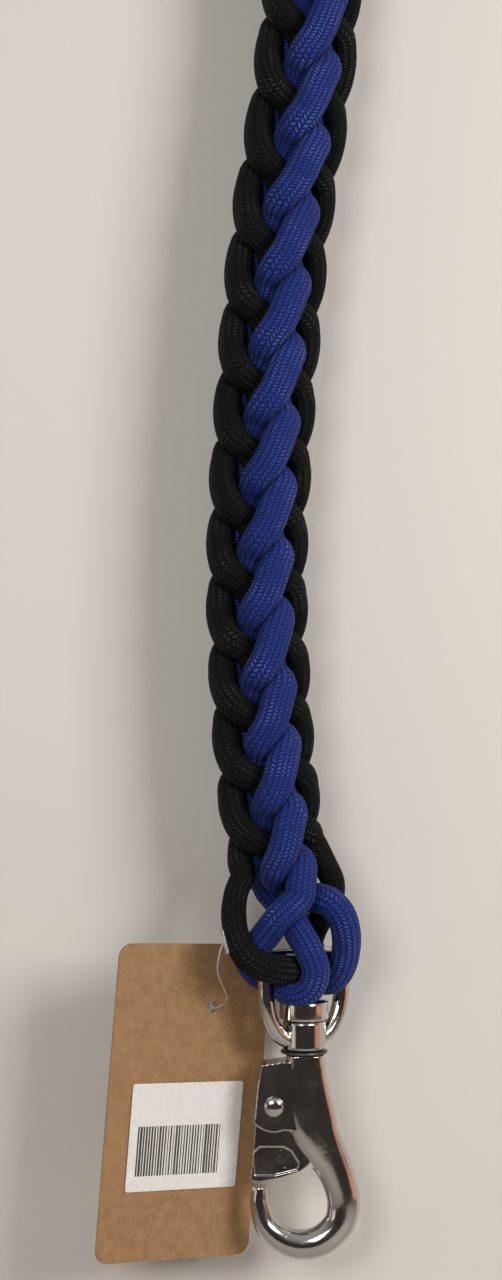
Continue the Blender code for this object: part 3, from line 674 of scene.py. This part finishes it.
def makeGate():
    px, pz = snap["pivot"]
    half = snap["gateThick"] / 2
    outline = [(-13.7, -34.8), (-15.2, -50.6), (-14.6, -51.3), (-12.5, -51.5), (-6.6, -50.3), (-0.9, -48.4),
               (1.2, -46.7), (1.7, -45.9), (-1.6, -41.4), (-5.7, -34.8)] + arc(px, pz, 4.4, -40, 200, 24)
    piece = finishMesh("gateLever", prism(outline, -half, half), chromeCast)
    fork = [(px - 9, pz - 5), (px + 9, pz - 5), (px + 9, pz + 9), (px - 9, pz + 9)]  # room for the spring
    combine(piece, prism(fork, -1.65, 1.65), "DIFFERENCE")
    combine(piece, turnY(plug(pinR, -9, 9, 24), (px, pz)), "DIFFERENCE")
    panel = [(-6.0, -13.6), (-4.0, -11.8), (2.6, -11.8), (5.0, -13.0), (7.2, -16.6), (6.6, -18.4),
             (0.2, -20.0), (-5.4, -20.0)]
    for y0 in (-half - 0.8, half - 0.9):
        combine(piece, prism([(px + x, pz + z) for x, z in panel], y0, y0 + 1.7), "DIFFERENCE")
    return castFinish(piece, *skins["gate"])


def makeEye():
    r = snap["hub"] / 2
    hub = lathe([(0, hubLow), (r - 0.7, hubLow), (r - 0.2, hubLow + 0.2), (r, hubLow + 0.7),
                 (r, hubTop - 0.6), (r - 0.2, hubTop - 0.2), (r - 0.6, hubTop), (0, hubTop)], 64)
    eye = finishMesh("swivelEye", hub, chromeTurned)
    combine(eye, sweepTube(eyeLine(8), snap["rod"] / 2, 28), "UNION")
    combine(eye, plug(boreR, hubLow - 2, hubTop + 2, 32), "DIFFERENCE")
    combine(eye, plug(snap["head"] / 2 + 1.2, hubTop, 3.0, 48), "DIFFERENCE")  # room for the stud's head
    return castFinish(eye, *skins["eye"])


def rounded(profile, size, steps=4):  # rounds the corners of a lathe profile
    out = [profile[0]]
    for a, b, c in zip(profile, profile[1:], profile[2:]):
        a, b, c = np.array(a, float), np.array(b, float), np.array(c, float)
        p = b + (a - b) / np.linalg.norm(a - b) * min(size, np.linalg.norm(a - b) / 2)
        q = b + (c - b) / np.linalg.norm(c - b) * min(size, np.linalg.norm(c - b) / 2)
        for k in range(steps + 1):
            t = k / steps
            out.append(tuple((1 - t) ** 2 * p + 2 * t * (1 - t) * b + t * t * q))
    return out + [profile[-1]]


def makeStud():
    r, p, low = snap["head"] / 2, snap["post"] / 2, bodyTop - 7.0
    under = hubTop + snap["clear"]
    profile = rounded([(0, low), (p, low), (p, under), (r, under), (r, -0.05), (0, 0)], 0.8)
    return finishMesh("swivelStud", lathe(profile, 72), chromeTurned)


def makeWasher():
    outer, low = snap["hub"] / 2 + 0.5, washerTop - snap["washer"]
    profile = [(boreR, low), (outer - 0.2, low), (outer, low + 0.2), (outer, washerTop - 0.2),
               (outer - 0.2, washerTop), (boreR, washerTop)]
    return finishMesh("swivelWasher", lathe(profile, 72), dullSteel)


def makeRivet():
    pin, head, face = snap["pin"] / 2, snap["rivetHead"] / 2, cheekOut + snap["clear"]
    dome = [(head * math.cos(a), face + 0.3 + 1.2 * math.sin(a)) for a in np.linspace(0, math.pi / 2, 9)][:-1]
    half = [(pin, face), (head, face)] + dome + [(0, face + 1.5)]
    profile = [(x, -z) for x, z in reversed(half)] + half
    return finishMesh("gateRivet", turnY(lathe(profile, 48), snap["pivot"]), chromeTurned)


snapPieces = [(makeHook, "hook_body", "hook", "chrome"), (makeGate, "gate", "gate", "chrome"),
              (makeEye, "swivel_eye", "rope", "chrome"), (makeStud, "swivel_stud", "hook", "chrome"),
              (makeWasher, "swivel_washer", "hook", "steel"), (makeRivet, "gate_rivet", "hook", "chrome")]
for maker, node, body, slot in snapPieces:
    piece = maker()
    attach(piece, body)
    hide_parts(node)
    print(piece.name, len(piece.data.polygons), "faces")
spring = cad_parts["gate_spring"]
spring.data.materials.clear()
spring.data.materials.append(dullSteel)


# kraft card tag, its label and the nylon fastener
tag = {"wide": 50.0, "tall": 90.0, "thick": 0.5, "corner": 4.0, "hole": (6.5, 27.0), "holeWide": 3.6,
       "middle": (-33.9, -1.9, -28.6), "yaw": 31.0, "lean": 4.6}
label = {"wide": 36.0, "tall": 30.5, "thick": 0.2, "corner": 0.8, "middle": (0.5, -9.7), "gap": 0.3}
labelBack = -tag["thick"] / 2 - label["gap"]


def tagAxes():
    yaw, lean = math.radians(tag["yaw"]), math.radians(tag["lean"])
    up = np.array([math.sin(lean), 0.0, math.cos(lean)])
    across = np.array([math.cos(yaw), math.sin(yaw), 0.0])
    across -= up * across.dot(up)
    across /= np.linalg.norm(across)
    return across, np.cross(up, across), up


def tagPoint(w, depth, h):  # right, behind and above the card's middle
    across, back, up = tagAxes()
    return np.array(tag["middle"]) + across * w + back * depth + up * h


def roundedBox(w, h, r, steps):
    x, z = w / 2 - r, h / 2 - r
    return (arc(x, z, r, 0, 90, steps) + arc(-x, z, r, 90, 180, steps)
            + arc(-x, -z, r, 180, 270, steps) + arc(x, -z, r, 270, 360, steps))


def tagPlate(name, outline, near, far, mat):
    bm = bmesh.new()
    uvLayer = bm.loops.layers.uv.new("tagUv")
    front = [bm.verts.new(place(*tagPoint(w, near, h))) for w, h in outline]
    back = [bm.verts.new(place(*tagPoint(w, far, h))) for w, h in outline]
    spots = {v: p for v, p in zip(front + back, outline + outline)}
    faces = [bm.faces.new(front), bm.faces.new(list(reversed(back)))]
    for k in range(len(outline)):
        n = (k + 1) % len(outline)
        faces.append(bm.faces.new((front[k], back[k], back[n], front[n])))
    for face in faces:
        for loop in face.loops:
            loop[uvLayer].uv = spots[loop.vert]
    return finishMesh(name, bm, mat, False)


def kraftLook():
    mat, tree, shader = newMaterial("kraftCard")
    spot = objectPoint(tree)
    pulp = noise(tree, spot, 340.0, 4.0, 0.6)
    fibres = noise(tree, objectPoint(tree, (1, 1, 0.18), (0, 0.6, 0.54)), 1900.0, 3.0)
    cross = noise(tree, objectPoint(tree, (0.2, 1, 1), (0, 0.3, 0.54)), 1500.0, 3.0)
    fleck = ramp(tree, noise(tree, spot, 1100.0, 1.0), 0.66, 0.74)
    base = blendColor(tree, ramp(tree, pulp, 0.3, 0.7), (0.27, 0.145, 0.060, 1), (0.36, 0.205, 0.092, 1))
    base = blendColor(tree, ramp(tree, fibres, 0.58, 0.75, 0.0, 0.45), base, (0.46, 0.29, 0.15, 1))
    base = blendColor(tree, calc(tree, "MULTIPLY", fleck, 0.5), base, (0.15, 0.075, 0.03, 1))
    feed(tree, shader.inputs["Base Color"], base)
    feed(tree, shader.inputs["Roughness"], ramp(tree, pulp, 0.3, 0.7, 0.62, 0.8))
    rough = calc(tree, "ADD", calc(tree, "MULTIPLY", fibres, 0.6), calc(tree, "MULTIPLY", cross, 0.4))
    feed(tree, shader.inputs["Normal"], bump(tree, rough, 0.18, 0.0002))
    return mat


def paperLook(name, dark, light):
    mat, tree, shader = newMaterial(name)
    spot = objectPoint(tree)
    pulp = noise(tree, spot, 700.0, 3.0)
    feed(tree, shader.inputs["Base Color"], blendColor(tree, ramp(tree, pulp, 0.3, 0.7), dark, light))
    feed(tree, shader.inputs["Roughness"], ramp(tree, pulp, 0.3, 0.7, 0.48, 0.62))
    feed(tree, shader.inputs["Normal"], bump(tree, noise(tree, spot, 2200.0), 0.06, 0.0001))
    return mat


def nylonLook():
    mat, tree, shader = newMaterial("clearNylon")
    haze = noise(tree, objectPoint(tree), 600.0, 2.0)
    color = blendColor(tree, haze, (0.80, 0.80, 0.78, 1), (0.92, 0.92, 0.91, 1))
    feed(tree, shader.inputs["Base Color"], color)
    feed(tree, shader.inputs["Roughness"], ramp(tree, haze, 0.3, 0.7, 0.18, 0.34))
    shader.inputs["Transmission Weight"].default_value = 0.8
    shader.inputs["IOR"].default_value = 1.5
    return mat


kraft = kraftLook()
labelPaper = paperLook("labelPaper", (0.72, 0.70, 0.67, 1), (0.80, 0.785, 0.755, 1))
inkBlack = paperLook("barInk", (0.030, 0.029, 0.028, 1), (0.055, 0.052, 0.050, 1))
# dark kraft for the slits: painted shade in the cuts
slitShade = paperLook("slitShade", (0.10, 0.052, 0.022, 1), (0.16, 0.085, 0.036, 1))
nylon = nylonLook()


def makeTag():
    half = tag["thick"] / 2
    card = tagPlate("hangTag", roundedBox(tag["wide"], tag["tall"], tag["corner"], 10), -half, half, kraft)
    w, h = tag["hole"]
    hole = bmesh.new()
    circle = arc(0, 0, tag["holeWide"] / 2, 0, 350, 35)
    rings = [[hole.verts.new(place(*tagPoint(w + x, d, h + z))) for x, z in circle] for d in (-3, 3)]
    combine(card, skinRings(hole, rings), "DIFFERENCE")
    return card


def makeLabel():
    outline = [(label["middle"][0] + w, label["middle"][1] + h)
               for w, h in roundedBox(label["wide"], label["tall"], label["corner"], 5)]
    return tagPlate("tagLabel", outline, labelBack - label["thick"], labelBack, labelPaper)


def layOnTag(ob, w, depth, h):
    turn = Matrix([Vector(a) for a in tagAxes()]).transposed().to_4x4()
    ob.data.transform(Matrix.Translation(place(*tagPoint(w, depth, h))) @ turn)


# plain bars of random widths on the label
bars = {"count": 31, "pitch": 0.88, "thin": 0.2, "thick": 0.75, "tall": 14.0, "deep": 0.03, "left": -14.6,
        "low": -13.6, "lift": 0.02, "seed": 5}


def makeBars():
    tree, inputs, ids = newTree("labelBars", {
        "Count": "Int", "Pitch": "Float", "Thin": "Float", "Thick": "Float", "Deep": "Float", "Tall": "Float",
        "Seed": "Int", "Finish": "Material"})
    step = addNode(tree, "ShaderNodeCombineXYZ", {0: inputs["Pitch"]}).outputs[0]
    row = addNode(tree, "GeometryNodeMeshLine", {"Count": inputs["Count"], "Offset": step}).outputs[0]
    stick = addNode(tree, "GeometryNodeMeshCube", {"Size": (1, 1, 1)}).outputs[0]
    width = addNode(tree, "FunctionNodeRandomValue", {
        2: inputs["Thin"], 3: inputs["Thick"], "Seed": inputs["Seed"]},
        data_type="FLOAT").outputs[1]  # inputs 2 and 3 are the least and the most
    size = addNode(tree, "ShaderNodeCombineXYZ", {0: width, 1: inputs["Deep"], 2: inputs["Tall"]}).outputs[0]
    spread = addNode(tree, "GeometryNodeInstanceOnPoints", {"Points": row, "Instance": stick, "Scale": size})
    ob = bakeTree("labelBars", tree, inputs, ids, spread.outputs[0], {
        "Count": bars["count"], "Pitch": bars["pitch"] * mm, "Thin": bars["thin"] * mm,
        "Thick": bars["thick"] * mm, "Deep": bars["deep"] * mm, "Tall": bars["tall"] * mm,
        "Seed": bars["seed"], "Finish": inkBlack})
    layOnTag(ob, bars["left"], labelBack - label["thick"] - bars["lift"], bars["low"])
    return ob


# half moon of short slits near the card's foot, where a hanging slot can be pressed out; the slits are thin dark
# strips laid on the card, painted shade in the cuts
moon = {"middle": (-1.2, -33.6), "radius": 6.2, "from": 20.0, "sweep": 140.0, "slits": 15, "long": 0.75,
        "wide": 0.16, "deep": 0.03, "lift": 0.01}


def makeSlits():
    tree, inputs, ids = newTree("tagSlits", {"Radius": "Float", "Slits": "Int", "Size": "Vector",
                                             "Finish": "Material"})
    bow = addNode(tree, "GeometryNodeCurveArc", {
        "Resolution": 40, "Radius": inputs["Radius"], "Start Angle": math.radians(moon["from"]),
        "Sweep Angle": math.radians(moon["sweep"])}).outputs[0]
    dots = addNode(tree, "GeometryNodeCurveToPoints", {"Curve": bow, "Count": inputs["Slits"]}, mode="COUNT")
    stick = addNode(tree, "GeometryNodeMeshCube", {"Size": inputs["Size"]}).outputs[0]
    aim = addNode(tree, "FunctionNodeAlignRotationToVector", {"Vector": dots.outputs["Tangent"]}, axis="X")
    spread = addNode(tree, "GeometryNodeInstanceOnPoints", {
        "Points": dots.outputs["Points"], "Instance": stick, "Rotation": aim.outputs[0]}).outputs[0]
    stand = addNode(tree, "GeometryNodeTransform", {"Geometry": spread, "Rotation": (math.radians(90), 0, 0)})
    ob = bakeTree("tagSlits", tree, inputs, ids, stand.outputs[0], {
        "Radius": moon["radius"] * mm, "Slits": moon["slits"],
        "Size": (moon["long"] * mm, moon["wide"] * mm, moon["deep"] * mm), "Finish": slitShade})
    layOnTag(ob, moon["middle"][0], -tag["thick"] / 2 - moon["lift"], moon["middle"][1])
    return ob


def makeFastener():
    w, h = tag["hole"]
    mid = (tieBar[0] + tieBar[1]) / 2
    line = [mid, mid - (1.2, 1.6, 2.4), (-24.4, -15.6, 10.0), tagPoint(w + 0.4, -7.0, h + 3.4),
            tagPoint(w, -2.2, h), tagPoint(w, 0.0, h), tagPoint(w, 1.6, h)]
    ob = finishMesh("tagFastener", sweepTube(smooth(line, 10), fastener["thread"], 12), nylon)
    ends = (-fastener["backHalf"], fastener["backHalf"])
    backBar = [tagPoint(w, tag["thick"] / 2 + 0.8, h + d) for d in ends]
    for a, b in (tieBar, backBar):
        rod = np.array([a + (b - a) * t for t in np.linspace(0, 1, 9)])
        combine(ob, sweepTube(rod, fastener["bar"], 14), "UNION")
    ob.data.shade_smooth()
    return ob


tagPieces = [(makeTag, "hang_tag", "tag", "card"), (makeLabel, "tag_label", "tag", "label"),
             (makeBars, None, "tag", "label"), (makeSlits, None, "tag", "card"),
             (makeFastener, "tag_fastener", "rope", "nylon")]
for maker, node, body, slot in tagPieces:
    piece = maker()
    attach(piece, body)
    if node:
        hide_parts(node)
    print(piece.name, len(piece.data.polygons), "faces")


# wall behind, floor below, and soft light from the upper right with a weaker one from the left
room = {"wallY": 24.0, "floorZ": -330.0, "size": 3.0, "floorFront": 0.9, "wall": (0.72, 0.692, 0.65, 1),
        "floor": (0.50, 0.47, 0.44, 1)}


def stageLook(name, color, seeThrough):
    mat, tree, shader = newMaterial(name)
    cloud = noise(tree, objectPoint(tree), 6.0, 2.0)
    darker = tuple(c * 0.96 for c in color[:3]) + (1,)
    feed(tree, shader.inputs["Base Color"], blendColor(tree, cloud, darker, color))
    shader.inputs["Roughness"].default_value = 0.6
    if seeThrough:  # the wall is one-sided, so that views from behind are not blocked
        clear = addNode(tree, "ShaderNodeBsdfTransparent").outputs[0]
        back = addNode(tree, "ShaderNodeNewGeometry").outputs["Backfacing"]
        pick = addNode(tree, "ShaderNodeMixShader", {0: back, 1: shader.outputs[0], 2: clear})
        tree.links.new(pick.outputs[0], tree.nodes["Material Output"].inputs["Surface"])
    return mat


def stagePlane(name, corners, mat):
    mesh = bpy.data.meshes.new(name)
    mesh.from_pydata(corners, [], [(0, 1, 2, 3)])
    mesh.materials.append(mat)
    ob = bpy.data.objects.new(name, mesh)
    scene.collection.objects.link(ob)
    return ob


half, wallY, floorZ = room["size"] / 2, room["wallY"] * mm, (room["floorZ"] - hangZ) * mm
front, wallTop = -room["floorFront"], floorZ + room["size"]
stagePlane("backWall", [(-half, wallY, floorZ), (half, wallY, floorZ), (half, wallY, wallTop),
                        (-half, wallY, wallTop)], stageLook("paleWall", room["wall"], True))
stagePlane("floor", [(-half, front, floorZ), (half, front, floorZ), (half, half, floorZ),
                     (-half, half, floorZ)], stageLook("paleFloor", room["floor"], False))

lamps = [{"name": "keyRight", "spot": (560, -640, 330), "size": 0.34, "watts": 5.1, "tint": (1.0, 0.975, 0.95)},
         {"name": "fillLeft", "spot": (-260, -820, 300), "size": 0.30, "watts": 2.5, "tint": (1.0, 0.98, 0.96)},
         {"name": "backRim", "spot": (-300, 700, 500), "size": 0.60, "watts": 5.0, "tint": (1.0, 0.98, 0.96)}]
aim = place(-8, 0, 90)  # where the lamps point
for lamp in lamps:
    data = bpy.data.lights.new(lamp["name"], "AREA")
    data.size, data.energy, data.color = lamp["size"], lamp["watts"], lamp["tint"]
    ob = bpy.data.objects.new(lamp["name"], data)
    ob.location = place(*lamp["spot"])
    ob.rotation_euler = (aim - ob.location).to_track_quat("-Z", "Y").to_euler()
    scene.collection.objects.link(ob)

# the room that the chrome reflects
around = {"dim": (0.045, 0.037, 0.033, 1), "ceiling": (0.42, 0.41, 0.40, 1), "leftPane": (0.90, 0.86, 0.82, 1),
          "rightGlow": (0.85, 0.42, 0.27, 1), "backdrop": (0.50, 0.475, 0.45, 1)}


def lightRoom(tree):
    ray = addNode(tree, "ShaderNodeTexCoord").outputs["Generated"]
    right, back, up = addNode(tree, "ShaderNodeSeparateXYZ", {0: ray}).outputs
    color = blendColor(tree, ramp(tree, up, 0.15, 0.75), around["dim"], around["ceiling"])
    pane = calc(tree, "MULTIPLY", ramp(tree, right, -0.70, -0.80), ramp(tree, back, -0.2, -0.4))
    pane = calc(tree, "MULTIPLY", pane, ramp(tree, up, 0.30, 0.05))
    color = blendColor(tree, pane, color, around["leftPane"])
    glow = calc(tree, "MULTIPLY", ramp(tree, right, 0.80, 0.92), ramp(tree, up, 0.25, 0.0))
    color = blendColor(tree, glow, color, around["rightGlow"])
    seen = addNode(tree, "ShaderNodeLightPath").outputs["Is Camera Ray"]  # pale past the wall's edge
    feed(tree, tree.nodes["Background"].inputs["Color"], blendColor(tree, seen, color, around["backdrop"]))
    tree.nodes["Background"].inputs["Strength"].default_value = 1.0


scene.world = bpy.data.worlds.new("paleRoom")
scene.world.use_nodes = True
lightRoom(scene.world.node_tree)
print("stage and lamps set")
